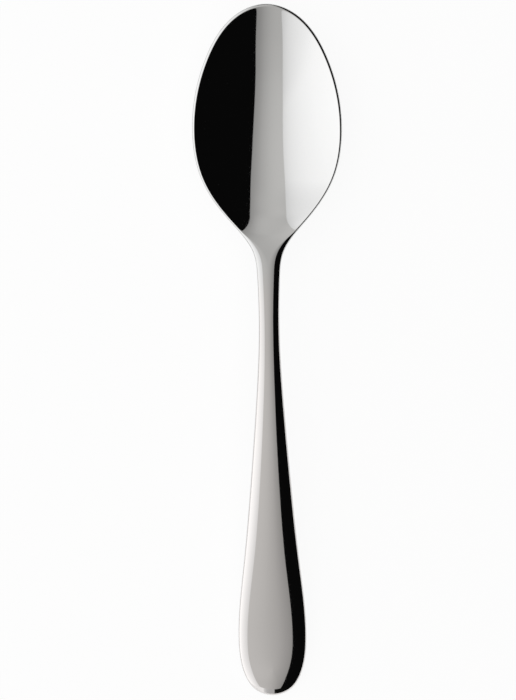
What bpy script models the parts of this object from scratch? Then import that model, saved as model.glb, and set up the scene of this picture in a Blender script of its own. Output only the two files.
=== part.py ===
"""Demitasse spoon: bowl, neck and handle in one piece of mirror-polished stainless steel.

Units are metres. The spoon lies on a table at z = 0, hollow side up and bowl towards +Y. It
touches the table under the bowl and under the end of the handle, and the origin is on the
table, under the middle of its length and width.

The shape is drawn as a spoon is drawn on paper. One outline, seen from above, and one edge
line, seen from the side, fix the rim of the bowl and the two edges of the handle. Ribs run
from the outline in to a spine along the middle. Along each rib the top rises from the edge
over a rounded lip and then sinks into the bowl, or rises over the crown of the handle, and
the back falls away below it.

In the functions, "s" is the distance from the tip of the bowl along the spoon.
"""

import bmesh
import bpy
import numpy as np

# Outline, seen from above. Each RUN goes on from the place before it, starting at the tip.
LENGTH = 0.1100
NOSE_RUN = 0.00152
NOSE_WIDTH = 0.00911
BROW_RUN = 0.00709
BROW_WIDTH = 0.01938
WIDEST_RUN = 0.01132
BOWL_WIDTH = 0.02382
SHOULDER_RUN = 0.0078
SHOULDER_WIDTH = 0.02105
HEEL_RUN = 0.00666
HEEL_WIDTH = 0.0123
ROOT_RUN = 0.0056
ROOT_WIDTH = 0.00449
THROAT_RUN = 0.00336
THROAT_WIDTH = 0.0036
NECK_RUN = 0.00892
NECK_WIDTH = 0.00328
TAPER_WIDTHS = (0.00454, 0.00647, 0.0088)  # at a quarter, half and three quarters of the taper
GRIP_WIDTH = 0.01078
END_LENGTH = 0.0094  # widest place of the grip to the end of the handle
END_FULLNESS = 2.31  # 2 is an ellipse, and more is squarer

# Edge line, seen from the side: heights above the rim at the bowl's widest place.
TIP_RISE = 0.0005
HEEL_RISE = 0.0007
THROAT_RISE = 0.0020
ARCH_RISE = 0.0036
ARCH_RUN = 0.0180  # throat to the top of the arch
TAIL_RISE = -0.0003
TAIL_LENGTH = 0.0210  # the last of the handle, which is straight in side view

# Bowl
BOWL_DEPTH = 0.0055  # from the top of the lip, at the widest place
BOWL_WALL = 0.0012
TIP_CURVE = 1.0  # how strongly the bowl curves across, as shares of its widest place
BROW_CURVE = 1.03
SHOULDER_CURVE = 0.795
HEEL_CURVE = 0.75
CONE = 0.05  # the dish bends less near the lip, and 0 is a parabola
FADE_START = 0.0014  # before the heel, where the hollow starts to run out into the neck
FADE_STOP = 0.0015  # after the root of the handle
TIP_LIP_WIDTH = 0.00040
LIP_WIDTH = 0.00034
HEEL_LIP_WIDTH = 0.00024
LIP_HEIGHT = 0.00036
LIP_ARC = 0.35  # 1 would be a whole quarter of an ellipse, level at its inner edge
RIM_BACK = 0.00035  # rounding below the edge
FLARE_START = 0.0011  # after the heel, where the lip starts to widen into the handle's crown
FLARE_STOP = 0.0025  # after the root of the handle

# Neck and handle: the crown above the edge line and the back below it
NECK_CROWN = 0.00066
ARCH_CROWN = 0.0009
GRIP_CROWN = 0.0012
END_CROWN = 0.00102
NECK_BACK = 0.0022
GRIP_BACK = 0.00115
BACK_ROUNDING = 0.55  # share of the half width that the rounded edge of the back takes
BACK_FULLNESS = 2.5

# Where the ribs of the two rounded ends meet the spine
NOSE_FAN = 0.0060
END_FAN = 0.0042

# Mesh
RIBS = {"nose": 14, "heel": 20, "handle": 28, "end": 12}
LIP_STEPS = 4
TOP_STEPS = 8
BACK_STEPS = 7
WIDEST_LIP = 0.62  # share of a rib that the closer steps of the edge may take
EDGE_SAMPLES = 2400  # places at which the two edges of the bowl are looked up
SEATING_ROUNDS = 6

NOSE = NOSE_RUN
BROW = NOSE + BROW_RUN
WIDEST = BROW + WIDEST_RUN
SHOULDER = WIDEST + SHOULDER_RUN
HEEL = SHOULDER + HEEL_RUN
ROOT = HEEL + ROOT_RUN
THROAT = ROOT + THROAT_RUN
NECK = THROAT + NECK_RUN
GRIP = LENGTH - END_LENGTH
ARCH = THROAT + ARCH_RUN
TAIL = LENGTH - TAIL_LENGTH
RIM_HEIGHT = BOWL_DEPTH + BOWL_WALL - LIP_HEIGHT


def ramp(s, start, stop):
    """Rises from 0 at start to 1 at stop, without a break in its curvature."""
    t = np.clip((s - start) / (stop - start), 0, 1)
    return t**3 * (10 + t * (6 * t - 15))


def between(s, start, stop, before, after):
    return before + (after - before) * ramp(s, start, stop)


def spline(at, values, slopes=(None, None)):
    """The smooth curve through the values. An end takes its slope, or else has no bend there.

    Beyond its ends the curve runs on straight.
    """
    at, values = np.asarray(at, float), np.asarray(values, float)
    step, count = np.diff(at), len(at)
    rise = np.diff(values) / step
    rows, wanted = np.zeros((count, count)), np.zeros(count)
    for i in range(1, count - 1):
        rows[i, i - 1 : i + 2] = step[i], 2 * (step[i - 1] + step[i]), step[i - 1]
        wanted[i] = 3 * (step[i] * rise[i - 1] + step[i - 1] * rise[i])
    for end, beside, slope in ((0, 1, slopes[0]), (-1, -2, slopes[1])):
        rows[end, end], rows[end, beside] = (2, 1) if slope is None else (1, 0)
        wanted[end] = 3 * rise[end] if slope is None else slope
    slope_at = np.linalg.solve(rows, wanted)

    def curve(x):
        held = np.clip(x, at[0], at[-1])
        i = np.clip(np.searchsorted(at, held, side="right") - 1, 0, count - 2)
        t = (held - at[i]) / step[i]
        first = values[i] * (1 + 2 * t) + step[i] * slope_at[i] * t
        last = values[i + 1] * (3 - 2 * t) - step[i] * slope_at[i + 1] * (1 - t)
        beyond = np.where(x > held, slope_at[-1], slope_at[0]) * (x - held)
        return first * (1 - t) ** 2 + last * t**2 + beyond

    return curve


def outline():
    """Half of the outline as two curves, place and half width, and the knots they run through."""
    end = np.radians([30, 60, 90])
    squarer = 2 / END_FULLNESS
    taper = np.linspace(NECK, GRIP, len(TAPER_WIDTHS) + 2)[1:-1]
    places = [
        *(0, NOSE, BROW, WIDEST, SHOULDER, HEEL, ROOT, THROAT, NECK, *taper, GRIP),
        *GRIP + END_LENGTH * np.sin(end) ** squarer,
    ]
    widths = [
        *(0, NOSE_WIDTH, BROW_WIDTH, BOWL_WIDTH, SHOULDER_WIDTH, HEEL_WIDTH),
        *(ROOT_WIDTH, THROAT_WIDTH, NECK_WIDTH, *TAPER_WIDTHS, GRIP_WIDTH),
        *GRIP_WIDTH * np.clip(np.cos(end), 0, 1) ** squarer,
    ]
    halves = np.array(widths) / 2
    halves[-1] = 0
    knots = np.append(0, np.cumsum(np.hypot(np.diff(places), np.diff(halves))))
    named = {"tip": 0, "widest": WIDEST, "throat": THROAT, "grip": GRIP}
    marks = {name: knots[places.index(place)] for name, place in named.items()}
    marks["end"] = knots[-1]
    return spline(knots, places, (0, 0)), spline(knots, halves), marks


PLACE, HALF_WIDTH, MARKS = outline()
SPINE = spline(
    [MARKS[name] for name in ("tip", "widest", "throat", "grip", "end")],
    [NOSE_FAN, WIDEST, THROAT, GRIP, LENGTH - END_FAN],
    (0, 0),
)
EDGE = spline(
    [0, WIDEST, HEEL, THROAT, ARCH, TAIL],
    [RIM_HEIGHT + r for r in (TIP_RISE, 0, HEEL_RISE, THROAT_RISE, ARCH_RISE, TAIL_RISE)],
)
CROWN = spline(
    [THROAT, ARCH, TAIL, LENGTH], [NECK_CROWN, ARCH_CROWN, GRIP_CROWN, END_CROWN], (0, None)
)
LIP = spline([0, WIDEST, HEEL], [TIP_LIP_WIDTH, LIP_WIDTH, HEEL_LIP_WIDTH], (0, 0))
CURVE_ACROSS = spline(
    [0, BROW, WIDEST, SHOULDER, HEEL], [TIP_CURVE, BROW_CURVE, 1, SHOULDER_CURVE, HEEL_CURVE]
)


def ribs(t):
    """Each rib's outline point, its way in to the spine, and the share of it that the lip takes."""
    outer = np.stack([HALF_WIDTH(t), PLACE(t)], axis=-1)
    way = np.stack([np.zeros_like(t), SPINE(t)], axis=-1) - outer
    nudge = 1e-5
    along = np.stack(
        [
            HALF_WIDTH(t + nudge) - HALF_WIDTH(t - nudge),
            PLACE(t + nudge) - PLACE(t - nudge),
        ],
        axis=-1,
    )
    inward = np.stack([-along[:, 1], along[:, 0]], axis=-1)
    inward /= np.linalg.norm(inward, axis=-1, keepdims=True)
    depth = np.sum(way * inward, axis=-1)
    return outer, way, np.minimum(LIP(outer[:, 1]) / depth, 1)


def flare(s):
    """0 on the bowl and 1 on the handle: the lip widens into the crown where they meet."""
    return ramp(s, HEEL + FLARE_START, ROOT + FLARE_STOP)


def inner_edge():
    """The square of the bowl's half width inside its lip, as a curve of place."""
    t = np.linspace(MARKS["tip"], MARKS["grip"], EDGE_SAMPLES)
    outer, way, lip = ribs(t)
    share = lip + (1 - lip) * flare(outer[:, 1])
    inside = outer + way * share[:, None]
    return lambda s: np.interp(s, inside[:, 1], inside[:, 0] ** 2, left=0, right=0)


def outer_edge():
    """The square of the outline's half width, as a curve of place."""
    t = np.linspace(MARKS["tip"], MARKS["end"], EDGE_SAMPLES)
    places, squares = PLACE(t), HALF_WIDTH(t) ** 2
    return lambda s: np.interp(s, places, squares)


INSIDE_SQUARED, OUTSIDE_SQUARED = inner_edge(), outer_edge()


def hollow(s):
    """How strongly the bowl curves across, as a share of its middle, down to 0 on the neck."""
    return CURVE_ACROSS(s) * (1 - ramp(s, HEEL - FADE_START, ROOT + FADE_STOP))


def top_height(x, s, rib_share):
    """Height of the top: edge line, plus lip or crown, less the hollow of the bowl."""
    crown = CROWN(s) + between(s, HEEL, ROOT, LIP_HEIGHT - NECK_CROWN, 0)
    arc = between(s, HEEL, ROOT, LIP_ARC, 1)
    rounded = np.sqrt((1 - (1 - arc * np.minimum(rib_share, 1)) ** 2) / (1 - (1 - arc) ** 2))
    dish = np.maximum(INSIDE_SQUARED(s) - x**2, 0) / INSIDE_SQUARED(WIDEST)
    sunk = BOWL_DEPTH * hollow(s) * (dish + CONE * dish**2) / (1 + CONE)
    return EDGE(s) + crown * rounded - sunk


def back_height(x, s, rib_share):
    """Height of the back: edge line, less its rounded edge, less the belly of the bowl."""
    below = between(s, SHOULDER, THROAT, RIM_BACK, NECK_BACK)
    below = below + (GRIP_BACK - NECK_BACK) * ramp(s, NECK, TAIL)
    rounded = (1 - (1 - np.minimum(rib_share, 1)) ** BACK_FULLNESS) ** (1 / BACK_FULLNESS)
    belly = np.maximum(OUTSIDE_SQUARED(s) - x**2, 0) / OUTSIDE_SQUARED(WIDEST)
    return EDGE(s) - below * rounded - (RIM_HEIGHT - RIM_BACK) * hollow(s) * belly


def steps_along(lip, inner_steps):
    """Shares of a rib at which it gets its points: close together at the edge, then even."""
    closer = lip[:, None] * (1 - np.cos(np.linspace(0, np.pi / 2, LIP_STEPS + 1)))
    even = np.linspace(0, 1, inner_steps + 1)[1:]
    return np.hstack([closer, lip[:, None] + (1 - lip[:, None]) * even])


def half_surface(height, full, inner_steps):
    """Points of one half of the top or the back, one row for each rib, from edge to spine."""
    counts = zip(RIBS.values(), ("tip", "widest", "throat", "grip"), ("widest", "throat", "grip", "end"))
    stretches = [np.linspace(MARKS[a], MARKS[b], n, endpoint=False) for n, a, b in counts]
    outer, way, lip = ribs(np.append(np.concatenate(stretches), MARKS["end"]))
    lip = lip + (full - lip) * flare(outer[:, 1])
    share = steps_along(np.minimum(lip, WIDEST_LIP), inner_steps)
    flat = outer[:, None, :] + way[:, None, :] * share[..., None]
    x, s = flat[..., 0], flat[..., 1]
    x[[0, -1]] = 0
    return np.stack([x, LENGTH / 2 - s, height(x, s, share / lip[:, None])], axis=-1)


def seat_on_table(*surfaces):
    """Tips the spoon until bowl and handle both touch z = 0, and centres it along Y."""
    points = np.concatenate([surface.reshape(-1, 3) for surface in surfaces])
    turn = np.eye(3)
    for _ in range(SEATING_ROUNDS):
        placed = points @ turn.T
        bowl = min(placed[placed[:, 1] > 0], key=lambda p: p[2])
        handle = min(placed[placed[:, 1] < 0], key=lambda p: p[2])
        tilt = -np.arctan2(bowl[2] - handle[2], bowl[1] - handle[1])
        c, s = np.cos(tilt), np.sin(tilt)
        turn = np.array([[1, 0, 0], [0, c, -s], [0, s, c]]) @ turn
    placed = points @ turn.T
    middle = (placed[:, 1].min() + placed[:, 1].max()) / 2
    return [surface @ turn.T - (0, middle, placed[:, 2].min()) for surface in surfaces]


def steel():
    material = bpy.data.materials.new("polished_steel")
    material.use_nodes = True
    shader = material.node_tree.nodes["Principled BSDF"]
    shader.inputs["Base Color"].default_value = (0.70, 0.69, 0.68, 1)
    shader.inputs["Metallic"].default_value = 1.0
    shader.inputs["Roughness"].default_value = 0.06
    return material


def skin(bm, rows, upwards):
    """Four-sided faces over a grid of vertices, facing up or down."""
    for near, far in zip(rows, rows[1:]):
        for a, b, c, d in zip(near, near[1:], far[1:], far):
            bm.faces.new((a, b, c, d) if upwards else (d, c, b, a))


def spoon():
    top = half_surface(top_height, 1.0, TOP_STEPS)
    back = half_surface(back_height, BACK_ROUNDING, BACK_STEPS)
    top, back = seat_on_table(top, back)
    bm = bmesh.new()
    upper = [[bm.verts.new(point) for point in rib] for rib in top]
    lower = [
        [shared[0]] + [bm.verts.new(point) for point in rib[1:]]
        for shared, rib in zip(upper, back)
    ]
    skin(bm, upper, upwards=True)
    skin(bm, lower, upwards=False)
    mesh = bpy.data.meshes.new("spoon")
    bm.to_mesh(mesh)
    bm.free()
    mesh.shade_smooth()
    mesh.materials.append(steel())
    body = bpy.data.objects.new("spoon", mesh)
    bpy.context.scene.collection.objects.link(body)
    mirror = body.modifiers.new("other half", "MIRROR")
    mirror.use_axis = (True, False, False)
    mirror.merge_threshold = 1e-6
    return body


def main():
    for old in list(bpy.data.objects):
        bpy.data.objects.remove(old, do_unlink=True)
    spoon()


main()
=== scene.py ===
# %% [markdown]
# # A demitasse spoon in mirror-polished steel
#
# The real spoon is one piece of stainless steel, forged, ground and then buffed until it is a
# mirror. A mirror has hardly any colour of its own. What the eye reads as "polished steel" is
# the room around it, bent by the shape. So the lesson has three parts: a surface that is smooth
# enough to be a mirror, the steel, and a small studio for the steel to show.

import bmesh
import bpy
import numpy as np
from mathutils import Matrix, Vector


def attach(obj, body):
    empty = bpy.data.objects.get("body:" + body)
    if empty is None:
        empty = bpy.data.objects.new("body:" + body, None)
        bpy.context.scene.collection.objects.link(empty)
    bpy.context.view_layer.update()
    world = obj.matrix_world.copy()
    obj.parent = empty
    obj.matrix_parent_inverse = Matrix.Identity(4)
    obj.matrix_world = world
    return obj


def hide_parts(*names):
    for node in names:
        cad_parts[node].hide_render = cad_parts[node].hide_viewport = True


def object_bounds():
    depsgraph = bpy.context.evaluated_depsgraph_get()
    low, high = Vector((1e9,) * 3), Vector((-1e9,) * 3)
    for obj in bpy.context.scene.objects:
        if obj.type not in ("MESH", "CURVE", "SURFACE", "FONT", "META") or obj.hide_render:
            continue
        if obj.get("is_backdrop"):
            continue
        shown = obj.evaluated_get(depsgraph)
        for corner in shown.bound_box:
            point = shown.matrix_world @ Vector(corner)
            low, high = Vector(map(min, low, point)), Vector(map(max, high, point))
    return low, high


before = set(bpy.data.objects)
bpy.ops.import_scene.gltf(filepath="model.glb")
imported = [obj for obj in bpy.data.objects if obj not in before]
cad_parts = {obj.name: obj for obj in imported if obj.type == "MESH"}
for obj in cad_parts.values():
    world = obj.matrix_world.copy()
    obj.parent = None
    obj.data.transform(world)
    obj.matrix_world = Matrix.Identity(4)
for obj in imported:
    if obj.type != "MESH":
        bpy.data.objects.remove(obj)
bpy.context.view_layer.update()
MM = 0.001

# %% [markdown]
# ## A flexible ruler
#
# A spoon is drawn with a few widths and heights and a flexible ruler that is bent through them.
# Blender's Bezier curves could do that, but each handle would have to be set by hand, and a
# wrong one shows at once as a kink in a reflection. A cubic spline needs no handles. It keeps
# the bend itself continuous, which is what a mirror asks for.

# %% The smooth curve through some values
def smooth_curve(at, values, slopes=(None, None)):
    """The curve through the values. An end takes its slope, or else it has no bend there.

    Beyond its ends the curve runs on straight.
    """
    at, values = np.asarray(at, float), np.asarray(values, float)
    step, count = np.diff(at), len(at)
    rise = np.diff(values) / step
    rows, wanted = np.zeros((count, count)), np.zeros(count)
    for i in range(1, count - 1):
        rows[i, i - 1 : i + 2] = step[i], 2 * (step[i - 1] + step[i]), step[i - 1]
        wanted[i] = 3 * (step[i] * rise[i - 1] + step[i - 1] * rise[i])
    for end, beside, slope in ((0, 1, slopes[0]), (-1, -2, slopes[1])):
        rows[end, end], rows[end, beside] = (2, 1) if slope is None else (1, 0)
        wanted[end] = 3 * rise[end] if slope is None else slope
    slope_at = np.linalg.solve(rows, wanted)

    def curve(x):
        held = np.clip(x, at[0], at[-1])
        i = np.clip(np.searchsorted(at, held, side="right") - 1, 0, count - 2)
        t = (held - at[i]) / step[i]
        first = values[i] * (1 + 2 * t) + step[i] * slope_at[i] * t
        last = values[i + 1] * (3 - 2 * t) - step[i] * slope_at[i + 1] * (1 - t)
        beyond = np.where(x > held, slope_at[-1], slope_at[0]) * (x - held)
        return first * (1 - t) ** 2 + last * t**2 + beyond

    return curve


def ramp(s, start, stop):
    """Rises from 0 at start to 1 at stop, without a break in its bend."""
    t = np.clip((s - start) / (stop - start), 0, 1)
    return t**3 * (10 + t * (6 * t - 15))


print("ramp half way:", ramp(0.5, 0, 1))

# %% [markdown]
# ## The outline from above
#
# Seen from above, the spoon is a broad oval that draws in to a neck as thin as a match, and then
# widens slowly to a rounded end. These are the sizes of the CAD part, in millimetres, each with
# its distance from the tip of the bowl. The end of the handle is a superellipse, a little
# squarer than an ellipse. The outline is a curve of the way walked along it, so it can turn
# straight across at the tip.

# %% Outline
LENGTH = 110.0
STATIONS = {  # distance from the tip, and full width
    "tip": (0, 0),
    "nose": (1.52, 9.11),
    "brow": (8.61, 19.38),
    "widest": (19.93, 23.82),
    "shoulder": (27.73, 21.05),
    "heel": (34.39, 12.30),
    "root": (39.99, 4.49),
    "throat": (43.35, 3.60),
    "neck": (52.27, 3.28),
    "first taper": (64.35, 4.54),
    "second taper": (76.44, 6.47),
    "third taper": (88.52, 8.80),
    "grip": (100.60, 10.78),
}
END_FULLNESS = 2.31  # 2 is an ellipse
END_TURNS = (30, 60, 90)  # degrees round the end of the handle

place = {name: station[0] for name, station in STATIONS.items()}
grip_place, grip_width = STATIONS["grip"]
turn = np.radians(END_TURNS)
end_places = grip_place + (LENGTH - grip_place) * np.sin(turn) ** (2 / END_FULLNESS)
end_widths = grip_width * np.append(np.cos(turn[:-1]) ** (2 / END_FULLNESS), 0)
places = np.append(list(place.values()), end_places)
halves = np.append([width for _, width in STATIONS.values()], end_widths) / 2
walked = np.append(0, np.cumsum(np.hypot(np.diff(places), np.diff(halves))))
mark = dict(zip(STATIONS, walked)) | {"end": walked[-1]}
along = smooth_curve(walked, places, (0, 0))
half_width = smooth_curve(walked, halves)
print(f"outline: {walked[-1]:.1f} mm from the tip round to the end")

# %% [markdown]
# ## The edge from the side
#
# Seen from the side, the rim is nearly level, and the handle rises over an arch and comes down
# again, so that the end touches the table and a finger can get under it. The last part of the
# handle is straight. Along the middle, a spine gives each point of the outline a partner.
# The straight lines between them are the ribs that carry the surface: they fan round the
# two rounded ends and lie straight across everywhere else. The spine starts and stops without
# a slope, or the two halves would meet in a faint ridge there, and a mirror shows that.

# %% Edge line and spine
BOWL_DEPTH = 5.5
BOWL_WALL = 1.2
LIP_HEIGHT = 0.36
RISES = {"tip": 0.5, "widest": 0, "heel": 0.7, "throat": 2.0, "arch": 3.6, "tail": -0.3}
ARCH_RUN = 18.0  # from the throat to the top of the arch
TAIL_LENGTH = 21.0  # of the last, straight part of the handle
NOSE_FAN = 6.0  # from the tip to the start of the spine
END_FAN = 4.2  # from its end to the end of the handle

place |= {"arch": place["throat"] + ARCH_RUN, "tail": LENGTH - TAIL_LENGTH}
rim_height = BOWL_DEPTH + BOWL_WALL - LIP_HEIGHT
edge = smooth_curve([place[p] for p in RISES], [rim_height + rise for rise in RISES.values()])
spine = smooth_curve(
    [mark[m] for m in ("tip", "widest", "throat", "grip", "end")],
    [NOSE_FAN, place["widest"], place["throat"], grip_place, LENGTH - END_FAN],
    (0, 0),
)
print(f"arch {edge(place['arch']) - edge(LENGTH):.1f} mm above the end of the handle")

# %% [markdown]
# ## Ribs and the rolled lip
#
# The rim of a polished spoon is never sharp. It is rounded into a lip, here a third of a
# millimetre wide, a little wider at the tip and narrower at the heel. The lip draws the thin line
# around the bowl. Where the bowl runs into the handle, the lip widens until it is the whole crown
# of the neck. So each rib needs to know what share of it the lip takes.

# %% Ribs
LIP_WIDTHS = {"tip": 0.40, "widest": 0.34, "heel": 0.24}
FLARE_START = 1.1  # after the heel
FLARE_STOP = 2.5  # after the root of the handle
NUDGE = 0.01  # either way along the outline, for its direction

lip_width = smooth_curve([place[p] for p in LIP_WIDTHS], list(LIP_WIDTHS.values()), (0, 0))


def ribs(t):
    """Each rib's outer point, its way in to the spine, and the lip's share of it."""
    outer = np.stack([half_width(t), along(t)], axis=-1)
    way = np.stack([np.zeros_like(t), spine(t)], axis=-1) - outer
    across = half_width(t + NUDGE) - half_width(t - NUDGE)
    onward = along(t + NUDGE) - along(t - NUDGE)
    depth = (way[:, 1] * across - way[:, 0] * onward) / np.hypot(across, onward)
    return outer, way, np.minimum(lip_width(outer[:, 1]) / depth, 1)


def flare(s):
    """0 on the bowl and 1 on the handle."""
    return ramp(s, place["heel"] + FLARE_START, place["root"] + FLARE_STOP)


print("share of a rib under the lip, at the widest place:", ribs(np.array([mark["widest"]]))[2])

# %% [markdown]
# ## The hollow of the bowl
#
# The bowl is a dish. In each cross-section it is close to a parabola that bends a little less
# near the lip. It is flatter towards the handle, and it runs out in a smooth ramp at the root.
# A sphere cut by a plane would be simpler, but its reflections would be circles, and those in a
# spoon are long ovals. The dish is measured from the inner edge of the lip, and the belly on
# the back from the outline, so the wall gets thinner towards the rim, as a rolled blank does.

# %% Dish and belly
CURVES = {"tip": 1.0, "brow": 1.03, "widest": 1, "shoulder": 0.795, "heel": 0.75}
FADE_START = 1.4  # before the heel, where the hollow starts to run out into the neck
FADE_STOP = 1.5  # after the root of the handle
CONE = 0.05  # the dish bends less near the lip: 0 is a parabola
SAMPLES = 2400

curve_across = smooth_curve([place[p] for p in CURVES], list(CURVES.values()))


def hollow(s):
    """How strongly the bowl curves across, as a share of its middle, down to 0 on the neck."""
    return curve_across(s) * (1 - ramp(s, place["heel"] - FADE_START, place["root"] + FADE_STOP))


def squared_width(points):
    """The square of a half width as a curve of place, falling below 0 beyond the tip."""
    x, s = points.T
    slope = (x[1] ** 2 - x[0] ** 2) / (s[1] - s[0])
    return lambda at: np.interp(at, s, x**2) + slope * np.minimum(at - s[0], 0)


outer, way, lip = ribs(np.linspace(mark["tip"], mark["grip"], SAMPLES))
share = lip + (1 - lip) * flare(outer[:, 1])
inside = squared_width(outer + way * share[:, None])
outer, _, _ = ribs(np.linspace(mark["tip"], mark["end"], SAMPLES))
outside = squared_width(outer)
print(f"inside the lip the bowl is {2 * inside(place['widest']) ** 0.5:.1f} mm wide")

# %% [markdown]
# ## Top and back
#
# Along each rib the top rises from the edge over an arc of an ellipse. On the handle the arc is
# the crown: a whole quarter, which comes level in the middle. On the bowl it is the lip, and only
# a third of the quarter, so it still climbs where the dish sinks away inside it. Lip and dish
# would meet in a sharp crease. The buffing wheel takes that off, so the dish starts with a soft
# maximum in place of a hard one. The back is flat along the grip, with round edges, and full
# under the neck, where a spoon carries its load.

# %% Heights
CROWNS = {"throat": 0.66, "arch": 0.9, "tail": 1.2, "end": 1.02}
LIP_ARC = 0.35  # 1 would be a whole quarter of an ellipse
CREASE = 0.6  # square millimetres of softness between lip and dish
RIM_BACK = 0.35  # rounding of the back below the edge, on the bowl
NECK_BACK = 2.2
GRIP_BACK = 1.15
BACK_ROUNDING = 0.55  # share of a rib that the round edge of the back takes
BACK_FULLNESS = 2.5  # 2 is an ellipse

place["end"] = LENGTH
crown_line = smooth_curve([place[p] for p in CROWNS], list(CROWNS.values()), (0, None))


def top_height(x, s, share):
    """Height of the top, with share running from 0 at the edge to 1 where the lip ends."""
    on_bowl = 1 - ramp(s, place["heel"], place["root"])
    crown = crown_line(s) + (LIP_HEIGHT - CROWNS["throat"]) * on_bowl
    arc = 1 - (1 - LIP_ARC) * on_bowl
    rounded = np.sqrt((1 - (1 - arc * np.minimum(share, 1)) ** 2) / (1 - (1 - arc) ** 2))
    within = inside(s) - x**2
    soft = (within + np.sqrt(within**2 + CREASE**2)) / 2 / inside(place["widest"])
    sunk = BOWL_DEPTH * hollow(s) * (soft + CONE * soft**2) / (1 + CONE)
    return edge(s) + crown * rounded - sunk


def back_height(x, s, share):
    """Height of the back, with share running from 0 at the edge to 1 on the flat."""
    below = RIM_BACK + (NECK_BACK - RIM_BACK) * ramp(s, place["shoulder"], place["throat"])
    below = below + (GRIP_BACK - NECK_BACK) * ramp(s, place["neck"], place["tail"])
    rest = np.maximum(1 - share, 0) ** BACK_FULLNESS
    sunk = (rim_height - RIM_BACK) / outside(place["widest"]) * hollow(s)
    return (
        edge(s)
        - below * (1 - rest) ** (1 / BACK_FULLNESS)
        - sunk * np.maximum(outside(s) - x**2, 0)
    )


for spot in ("widest", "throat", "neck", "grip"):
    at = np.array([place[spot]])
    thickness = top_height(0, at, 1)[0] - back_height(0, at, 1)[0]
    print(f"thickness in the middle, at the {spot}: {thickness:.2f} mm")

# %% [markdown]
# ## A grid fine enough for a mirror
#
# The CAD part has a few thousand flat facets, which is plenty for weight and contact, but each
# facet would show as a small flat mirror. Here the same surface gets a far finer grid. Its points
# are closest together round the lip, where the surface turns by a right angle in half a
# millimetre. Only one half is made, and it is mirrored afterwards.

# %% Points of one half
RIB_COUNTS = {"tip": 64, "widest": 96, "throat": 130, "grip": 56}  # from each mark to the next
EDGE_STEPS = 18
TOP_STEPS = 34
BACK_STEPS = 24
WIDEST_EDGE = 0.62  # share of a rib that the closer steps may take
CLOSER_INSIDE = 1.5  # 1 would space the inner steps evenly


def half_surface(height, full, inner_steps):
    """Points of one half of the top or the back: one row for each rib, from edge to spine."""
    ends = list(RIB_COUNTS)[1:] + ["end"]
    stretches = [
        np.linspace(mark[start], mark[stop], count, endpoint=False)
        for (start, count), stop in zip(RIB_COUNTS.items(), ends)
    ]
    outer, way, lip = ribs(np.append(np.concatenate(stretches), mark["end"]))
    lip = (lip + (full - lip) * flare(outer[:, 1]))[:, None]
    round_edge = 1 - np.cos(np.linspace(0, np.pi / 2, EDGE_STEPS + 1))
    inner = np.linspace(0, 1, inner_steps + 1)[1:] ** CLOSER_INSIDE
    near = np.minimum(lip, WIDEST_EDGE)
    share = np.hstack([near * round_edge, near + (1 - near) * inner])
    flat = outer[:, None, :] + way[:, None, :] * share[..., None]
    x, s = flat[..., 0], flat[..., 1]
    x[[0, -1]] = 0
    return np.stack([x, LENGTH / 2 - s, height(x, s, share / lip)], axis=-1)


top = half_surface(top_height, 1.0, TOP_STEPS)
back = half_surface(back_height, BACK_ROUNDING, BACK_STEPS)
print("points on one half:", top[..., 0].size + back[..., 0].size)

# %% [markdown]
# ## On the table
#
# The shape was drawn with a level rim. On a table it tips until the belly of the bowl and the
# end of the handle both touch. The CAD part was seated in the same way, so the two have to
# agree.

# %% Seat the spoon
SEATING_ROUNDS = 6


def seated(surfaces):
    """Tips the surfaces about X until bowl and handle touch z = 0, and centres them along Y."""
    points = np.concatenate([surface.reshape(-1, 3) for surface in surfaces])
    turned = np.eye(3)
    for _ in range(SEATING_ROUNDS):
        placed = points @ turned.T
        bowl = min(placed[placed[:, 1] > 0], key=lambda p: p[2])
        handle = min(placed[placed[:, 1] < 0], key=lambda p: p[2])
        tilt = -np.arctan2(bowl[2] - handle[2], bowl[1] - handle[1])
        turned = np.array(Matrix.Rotation(tilt, 3, "X")) @ turned
    placed = points @ turned.T
    middle = (placed[:, 1].min() + placed[:, 1].max()) / 2
    return [surface @ turned.T - (0, middle, placed[:, 2].min()) for surface in surfaces]


top, back = seated([top, back])

# %% [markdown]
# ## One closed skin
#
# The two grids share their edge points, so the skin is closed along the rim. bmesh.ops.mirror
# adds the other half and welds it along the middle. With smooth shading, the normals are blended
# between neighbouring faces, and at this density the blend follows the true surface to a small
# fraction of a degree.

# %% Build the mesh
WELD = 1e-6


def skin(bm, rows):
    """Four-sided faces over a grid of vertices."""
    for near, far in zip(rows, rows[1:]):
        for a, b, c, d in zip(near, near[1:], far[1:], far):
            bm.faces.new((a, b, c, d))


bm = bmesh.new()
upper = [[bm.verts.new(point * MM) for point in rib] for rib in top]
lower = [
    [rim_point] + [bm.verts.new(point * MM) for point in rib[1:]]
    for (rim_point, *_), rib in zip(upper, back)
]
skin(bm, upper)
skin(bm, lower)
bmesh.ops.mirror(bm, geom=bm.verts[:] + bm.edges[:] + bm.faces[:], axis="X", merge_dist=WELD)
bmesh.ops.dissolve_degenerate(bm, dist=WELD / 10, edges=bm.edges)
bmesh.ops.recalc_face_normals(bm, faces=bm.faces)
open_edges = sum(not e.is_manifold for e in bm.edges)
mesh = bpy.data.meshes.new("polished_spoon")
bm.to_mesh(mesh)
bm.free()
mesh.shade_smooth()
spoon = bpy.data.objects.new("polished_spoon", mesh)
bpy.context.scene.collection.objects.link(spoon)
print(len(mesh.polygons), "faces,", open_edges, "open edges")

# %% [markdown]
# ## Shader maths as sums
#
# A node tree is a formula drawn with wires. It is easier to read as a formula, so one small class
# wraps an output socket and lets Python's signs add the Math nodes. Any other node
# comes from its one method: the node's type, its settings, and what goes into its sockets.

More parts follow.
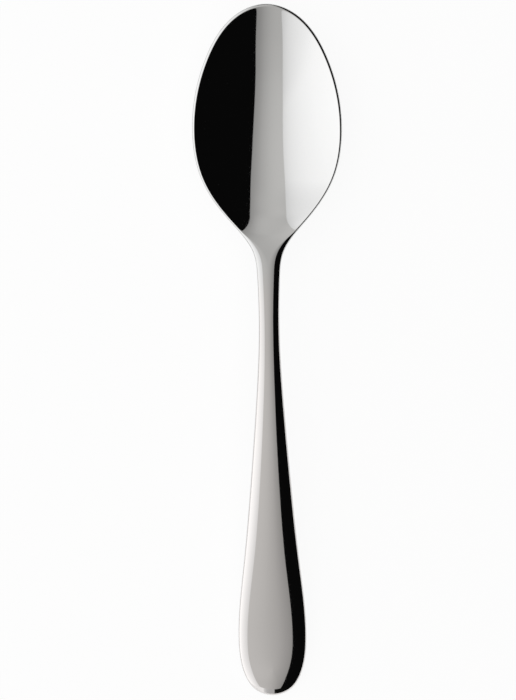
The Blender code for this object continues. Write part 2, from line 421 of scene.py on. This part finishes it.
# %% Wires
class Wire:
    """An output socket that takes part in Python sums."""

    def __init__(self, tree, socket=None):
        self.tree = tree
        self.socket = socket

    def node(self, kind, settings=None, inputs=None, output=0):
        """Adds a node, sets it up, fills or links its inputs and returns one of its outputs."""
        made = self.tree.nodes.new(kind)
        for name, value in (settings or {}).items():
            if name == "stops":
                while len(made.color_ramp.elements) < len(value):
                    made.color_ramp.elements.new(1)
                for stop, (at, colour) in zip(made.color_ramp.elements, value):
                    stop.position, stop.color = at, (*colour, 1)
            else:
                setattr(made, name, value)
        for key, value in (inputs or {}).items():
            if isinstance(value, Wire):
                self.tree.links.new(value.socket, made.inputs[key])
            else:
                made.inputs[key].default_value = value
        return Wire(self.tree, made.outputs[output] if made.outputs else None)

    def maths(self, operation, first, second):
        """One Math node."""
        return self.node("ShaderNodeMath", {"operation": operation}, {0: first, 1: second})

    def blend(self, kind, share, first, second):
        """Two colours mixed or multiplied, by a share."""
        settings = {"data_type": "RGBA", "blend_type": kind}
        return self.node("ShaderNodeMix", settings, {0: share, 6: first, 7: second}, output=2)

    def __add__(self, other):
        return self.maths("ADD", self, other)

    def __sub__(self, other):
        return self.maths("SUBTRACT", self, other)

    def __rsub__(self, other):
        return self.maths("SUBTRACT", other, self)

    def __mul__(self, other):
        return self.maths("MULTIPLY", self, other)

    def __pow__(self, other):
        return self.maths("POWER", self, other)

    def __abs__(self):
        return self.maths("ABSOLUTE", self, 0)

    __radd__ = __add__
    __rmul__ = __mul__


def new_material(name):
    """An empty material, and a wire with which its nodes are added."""
    material = bpy.data.materials.new(name)
    material.use_nodes = True
    material.node_tree.nodes.clear()
    return material, Wire(material.node_tree)


print("signs that add nodes: + - * ** abs")

# %% [markdown]
# ## Mirror-polished steel
#
# Stainless steel sends back about seven tenths of the light, a touch less of the blue. Here the
# colour is a ramp along the spoon, brightest at the end of the handle and a tenth darker in the
# neck, and the handle's steel is a little lighter than the bowl's. This ramp is painted light and
# painted shade: it makes the reflections lighter and darker along the spoon, in place of the
# room's light. Its stops were fitted to the tones in the photograph.
#
# Buffing leaves the steel almost without texture, but not quite: there is a faint haze in patches,
# where the wheel pressed less, and there are hairlines from washing and stirring. They are far too
# fine to see one by one and only soften the reflections a little. They are a matter of roughness,
# not of relief: a bump map that is coarse enough to be stored would make ripples in a mirror. A
# hairline here is a thin level line of a noise that is stretched along one direction.

# %% Steel
# painted light: the handle's steel is painted lighter than the bowl's, though both are one steel
HANDLE_STEEL = np.array((0.780, 0.757, 0.746))
BOWL_STEEL = np.array((0.722, 0.722, 0.719))
# painted light and painted shade: brightness along the spoon, lighter and darker reflections in
# place of the room's light
HANDLE_PAINTED_LIGHT = (  # share of the length from the end of the handle, and brightness
    (0, 1.11), (0.02, 1.09), (0.055, 1.02), (0.1, 1),
    (0.37, 1), (0.46, 0.95), (0.51, 0.905), (0.57, 0.905),
)
BOWL_PAINTED_LIGHT = ((0.62, 0.955), (0.64, 0.955), (0.68, 1), (1, 1))
HAZE_TINT = (0.982, 0.982, 0.982, 1)
POLISH = 0.018  # roughness where the steel is at its best
HAZE = 0.012  # roughness that the haze adds at most
SCRATCH = 0.02  # and each hairline
HAZE_SIZE = 9 * MM
HAZE_DETAIL = 3.0
HAIRLINE_SPACING = 0.7 * MM
HAIRLINE_LENGTH = 9 * MM
HAIRLINE_ANGLES = (4, -38, 61)  # degrees from the length of the spoon
HAIRLINE_THINNESS = 16
HAIRLINE_DETAIL = 1.0

steel, wires = new_material("mirror_polished_steel")
coordinates = wires.node("ShaderNodeTexCoord", output="Object")


def noise(vector, scale, detail):
    """Cloudy noise about one half."""
    return wires.node(
        "ShaderNodeTexNoise", None, {"Vector": vector, "Scale": scale, "Detail": detail}
    )


def hairlines(angle):
    """1 on thin lines that run about that many degrees off the length, and 0 between."""
    stretched = wires.node(
        "ShaderNodeMapping",
        {"vector_type": "TEXTURE"},
        {
            "Vector": coordinates,
            "Rotation": (0, 0, np.radians(angle)),
            "Scale": (HAIRLINE_SPACING, HAIRLINE_LENGTH, HAIRLINE_LENGTH),
        },
    )
    return (1 - abs(noise(stretched, 1.0, HAIRLINE_DETAIL) * 2 - 1)) ** HAIRLINE_THINNESS


haze = noise(coordinates, 1 / HAZE_SIZE, HAZE_DETAIL)
scratches = sum(hairlines(angle) for angle in HAIRLINE_ANGLES)
lengthways = wires.node("ShaderNodeSeparateXYZ", None, {0: coordinates}, output="Y")
share_of_length = lengthways * (1 / (LENGTH * MM)) + 0.5
# painted light: each steel colour scaled by its painted brightness along the spoon
painted_light_stops = [
    (at, colour * bright)
    for colour, painted_brightness in ((HANDLE_STEEL, HANDLE_PAINTED_LIGHT), (BOWL_STEEL, BOWL_PAINTED_LIGHT))
    for at, bright in painted_brightness
]
# the steel's colour with painted light and painted shade along its length
steel_with_painted_light = wires.node("ShaderNodeValToRGB", {"stops": painted_light_stops}, {"Fac": share_of_length})
tint = wires.blend("MULTIPLY", haze, steel_with_painted_light, HAZE_TINT)
surface = wires.node(
    "ShaderNodeBsdfPrincipled",
    None,
    {"Base Color": tint, "Roughness": POLISH + HAZE * haze + SCRATCH * scratches, "Metallic": 1.0},
)
wires.node("ShaderNodeOutputMaterial", None, {"Surface": surface})
mesh.materials.append(steel)
print(len(steel.node_tree.nodes), "nodes in the steel")

# %% [markdown]
# ## Hand the spoon to the frame
#
# The fine skin stands for the CAD solid of the same shape, which stays in the physics. It rides on
# the only body, because nothing on a spoon moves.

# %% Ride and replace
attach(spoon, "root")
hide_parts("spoon")
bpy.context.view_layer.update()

# %% [markdown]
# ## The white table
#
# The spoon lies on plain white. A white floor that is only lit can't be white everywhere, and more
# light would burn out the steel. So what the camera sees of the floor is mostly a white that
# shines by itself, with a strength of 1, and the rest is matt white that takes the shadow. The
# steel sees mostly the matt white, so the underside of the spoon shows the shadow that it lies in.
# Light Path tells these kinds of ray apart from those that only carry light about.

# %% Floor
FLOOR_SIZE = 6.0
FLOOR_GLOW = 0.92  # share of the glow in what the camera sees
MIRROR_GLOW = 0.3  # and in what the steel sees
FLOOR_WHITE = (0.80, 0.80, 0.80, 1)


def sheet(name, first, second, material):
    """A sheet between two lines of points, with u from line to line and v along them."""
    last = len(first) - 1
    rows = [(i, i + last + 1, i + last + 2, i + 1) for i in range(last)]
    made = bpy.data.meshes.new(name)
    made.from_pydata([*first, *second], [], rows)
    layer = made.uv_layers.new(name="sheet")
    for loop, corner in zip(layer.data, made.loops):
        line, step = divmod(corner.vertex_index, last + 1)
        loop.uv = line, step / last
    made.materials.append(material)
    placed = bpy.data.objects.new(name, made)
    bpy.context.scene.collection.objects.link(placed)
    placed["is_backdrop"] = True
    return placed


def seen_by(wires):
    """1 for a ray from the camera, and 1 for a ray from a mirror or a glass that it sees."""
    kinds = ("Is Camera Ray", "Is Glossy Ray", "Is Transmission Ray")
    camera, glossy, clear = (wires.node("ShaderNodeLightPath", output=kind) for kind in kinds)
    return camera, wires.maths("MAXIMUM", glossy, clear)


table_white, wires = new_material("table_white")
matt = wires.node("ShaderNodeBsdfDiffuse", None, {"Color": FLOOR_WHITE})
glow = wires.node("ShaderNodeEmission", None, {"Color": (1, 1, 1, 1), "Strength": 1.0})
by_camera, by_mirror = seen_by(wires)
glowing = FLOOR_GLOW * by_camera + MIRROR_GLOW * by_mirror
mixed = wires.node("ShaderNodeMixShader", None, {0: glowing, 1: matt, 2: glow})
wires.node("ShaderNodeOutputMaterial", None, {"Surface": mixed})
half = FLOOR_SIZE / 2
sides = [[(x, -half, 0), (x, half, 0)] for x in (-half, half)]
sheet("floor", *sides, table_white)
print("floor", FLOOR_SIZE, "m square")

# %% [markdown]
# ## A room for the mirror
#
# Nearly everything bright or dark in the steel is one of three sheets that run along the spoon.
# Straight overhead hangs a grey scrim, which fills the strip down the middle. On the left, from
# the scrim down to the table, stands a bright panel. On the right a black flag keeps the light
# away. A wall closes the room at either end, and from above it shows only in the tip of the bowl
# and in the end of the handle. The bowl is hollow and the handle is crowned, so they show the same
# room with left and right exchanged. The real room isn't in the picture, so the places and tones of
# these sheets are a guess, fitted to the reflections. The sheets are hidden from the camera and
# show only in the steel.

# %% Cloth that glows
WARM = (1.0, 0.988, 0.968)
NEUTRAL = (1.0, 1.0, 1.0)
FAR_START, FAR_STOP = 0.77, 0.85  # share of v where the far end's own stops set in


def glowing_cloth(name, light, across, lengthwise=((0, 1), (1, 1)), slant=0.0, far_across=None):
    """A cloth in the colour of its light, with stops of place and strength along u and along v.

    The slant moves the stops along v with u, for a cloth that isn't hung square. At the far end
    other stops along u can take over.
    """
    material, wires = new_material(name)
    uv = wires.node("ShaderNodeTexCoord", output="UV")
    u, v = (wires.node("ShaderNodeSeparateXYZ", None, {0: uv}, output=axis) for axis in (0, 1))

    def shares(at, stops, brightest):
        greys = [(stop, [grey / brightest] * 3) for stop, grey in stops]
        return wires.node("ShaderNodeValToRGB", {"stops": greys}, {"Fac": at})

    most_across, most_lengthwise = (max(grey for _, grey in stops) for stops in (across, lengthwise))
    pattern = shares(u, across, most_across)
    if far_across:
        limits = {"Value": v, "From Min": FAR_START, "From Max": FAR_STOP}
        far = wires.node("ShaderNodeMapRange", {"interpolation_type": "SMOOTHSTEP"}, limits)
        pattern = wires.blend("MIX", far, pattern, shares(u, far_across, most_across))
    strips = shares(v + slant * u, lengthwise, most_lengthwise)
    pattern = wires.blend("MULTIPLY", 1.0, pattern, strips)
    colour = wires.blend("MULTIPLY", 1.0, (*light, 1), pattern)
    strength = most_across * most_lengthwise
    glow = wires.node("ShaderNodeEmission", None, {"Color": colour, "Strength": strength})
    wires.node("ShaderNodeOutputMaterial", None, {"Surface": glow})
    return material


scrim_cloth = glowing_cloth(
    "scrim",
    WARM,
    (  # from right to left
        (0, 0.34), (0.06, 0.375), (0.19, 0.435), (0.31, 0.507), (0.44, 0.563), (0.56, 0.608),
        (0.69, 0.638), (0.81, 0.655), (1, 0.666),
    ),
    (  # from the near wall to the far wall
        (0, 0.83), (0.12, 0.84), (0.18, 0.85), (0.25, 0.90), (0.32, 0.955), (0.4, 0.975),
        (0.5, 0.99), (0.65, 1.01), (1, 1.02),
    ),
    far_across=(
        (0, 0.34), (0.06, 0.40), (0.15, 0.49), (0.25, 0.555), (0.35, 0.585), (0.45, 0.594),
        (0.65, 0.594), (0.75, 0.585), (0.85, 0.57), (1, 0.54),
    ),
)
panel_cloth = glowing_cloth(
    "panel",
    NEUTRAL,
    (  # from the scrim down to the table
        (0, 0.91), (0.04, 0.965), (0.08, 1.02), (0.125, 1.065), (0.175, 1.105), (0.25, 1.155),
        (0.35, 1.21), (0.45, 1.25), (0.55, 1.29), (0.75, 1.33), (0.93, 1.37), (0.96, 0.4),
    ),
    (  # from the near wall to the far wall
        (0, 0.81), (0.12, 0.85), (0.2, 0.885), (0.3, 0.905), (0.36, 0.935), (0.42, 0.985),
        (0.45, 1), (0.765, 1), (0.785, 0.95), (0.81, 0.89), (0.85, 0.82), (1, 0.75),
    ),
    slant=0.22,
)
flag_cloth = glowing_cloth("flag", NEUTRAL, ((0, 0.003), (1, 0.003)))
near_cloth = glowing_cloth(
    "near wall",
    NEUTRAL,
    (  # from left to right, as on the far wall
        (0, 0.93), (0.355, 0.93), (0.365, 0.72), (0.38, 0.65), (0.396, 0.56), (0.411, 0.51),
        (0.457, 0.45), (0.515, 0.43), (0.53, 0.004), (1, 0.004),
    ),
)
far_cloth = glowing_cloth(
    "far wall", NEUTRAL, ((0, 0.5), (0.36, 0.5), (0.4, 0.28), (0.6, 0.28), (0.62, 0.1), (1, 0.1))
)
print("five cloths")

# %% Hang the room
NEAR_WALL, FAR_WALL = -1.0, 1.1  # metres along the spoon
SCRIM_HEIGHT = 0.6
ROOM_SIDE = 0.9  # where panel and flag come down
FLAG_GAP = 0.03  # above the table
LEFT_EDGE = ((-1.0, -0.355), (-0.5, -0.326), (0, -0.279), (0.5, -0.264), (1.1, -0.262))
RIGHT_EDGE = ((-1.0, 0.197), (-0.5, 0.203), (0, 0.222), (0.5, 0.251), (1.1, 0.265))
ROOM_STEPS = 40  # along the curved edges of the scrim

at_y = np.linspace(NEAR_WALL, FAR_WALL, ROOM_STEPS + 1)
left_x, right_x = (smooth_curve(*zip(*edge_line))(at_y) for edge_line in (LEFT_EDGE, RIGHT_EDGE))
left = [(x, y, SCRIM_HEIGHT) for x, y in zip(left_x, at_y)]
right = [(x, y, SCRIM_HEIGHT) for x, y in zip(right_x, at_y)]
hung = [
    sheet("scrim", right, left, scrim_cloth),
    sheet("panel", left, [(-ROOM_SIDE, y, 0) for y in at_y], panel_cloth),
    sheet("flag", right, [(ROOM_SIDE, y, FLAG_GAP) for y in at_y], flag_cloth),
]
for name, y, cloth in (("near wall", NEAR_WALL, near_cloth), ("far wall", FAR_WALL, far_cloth)):
    posts = [[(x, y, 0), (x, y, SCRIM_HEIGHT)] for x in (-ROOM_SIDE, ROOM_SIDE)]
    hung.append(sheet(name, *posts, cloth))
for hanging in hung:
    hanging.visible_camera = False
print("hung:", [hanging.name for hanging in hung])

# %% [markdown]
# ## Plain light for everything that isn't a mirror
#
# The sheets are reflections more than lamps: the floor gets about half of the light that a colour
# needs to look as it is written. A wide soft lamp overhead brings it up to that level and throws
# the faint shadow. It is hidden from mirror rays, or it would show in the bowl as a square.

# %% Lamp, world and view
LAMP_SIZE = 0.8
LAMP_HEIGHT = 0.55
LAMP_POWER = 2.6  # watts
WORLD_GREY = 0.5  # strength of the world for all but camera and mirror

lamp_data = bpy.data.lights.new("soft_lamp", "AREA")
lamp_data.size, lamp_data.energy = LAMP_SIZE, LAMP_POWER
lamp = bpy.data.objects.new("soft_lamp", lamp_data)
lamp.location = (0, 0, LAMP_HEIGHT)
lamp.visible_glossy = lamp.visible_camera = False
bpy.context.scene.collection.objects.link(lamp)

world = bpy.data.worlds.new("white_room")
world.use_nodes = True
world.node_tree.nodes.clear()
wires = Wire(world.node_tree)
by_camera, by_mirror = seen_by(wires)
strength = WORLD_GREY + (1 - WORLD_GREY) * (by_camera + by_mirror)
backdrop = wires.node("ShaderNodeBackground", None, {"Color": (1, 1, 1, 1), "Strength": strength})
wires.node("ShaderNodeOutputWorld", None, {"Surface": backdrop})
bpy.context.scene.world = world
bpy.context.scene.view_settings.view_transform = "Standard"
print("lamp of", LAMP_POWER, "W")

# %% [markdown]
# ## The camera
#
# The photograph is taken from straight above, from far away. The spoon fills its height and leans
# by half a degree. So the camera hangs 2 m up, turned by that lean, and its lens follows from how
# many pixels long the spoon is.

# %% Camera
PICTURE_WIDTH, PICTURE_HEIGHT = 516, 700
SPOON_PIXELS = 692.1
MIDDLE_PIXEL = (269.4, 349.9)  # where the middle of the spoon's length is
LEAN = np.radians(0.62)
CAMERA_HEIGHT = 2.0
SENSOR = 24.0  # millimetres high, as Blender counts lenses
FOCUS_HEIGHT = 6 * MM  # about the height of the rim

low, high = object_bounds()
pixel = (high.y - low.y) / SPOON_PIXELS
camera_data = bpy.data.cameras.new("camera")
camera_data.sensor_fit = "VERTICAL"
camera_data.sensor_height = SENSOR
camera_data.lens = SENSOR * CAMERA_HEIGHT / (PICTURE_HEIGHT * pixel)
camera = bpy.data.objects.new("camera", camera_data)
aside = Vector((MIDDLE_PIXEL[0] - PICTURE_WIDTH / 2, PICTURE_HEIGHT / 2 - MIDDLE_PIXEL[1], 0))
camera.rotation_euler = (0, 0, -LEAN)
camera.location = Matrix.Rotation(-LEAN, 3, "Z") @ (-aside * pixel)
camera.location.z = CAMERA_HEIGHT + FOCUS_HEIGHT
bpy.context.scene.collection.objects.link(camera)
bpy.context.scene.camera = camera
print(f"lens {camera_data.lens:.0f} mm, {pixel / MM:.4f} mm to a pixel")
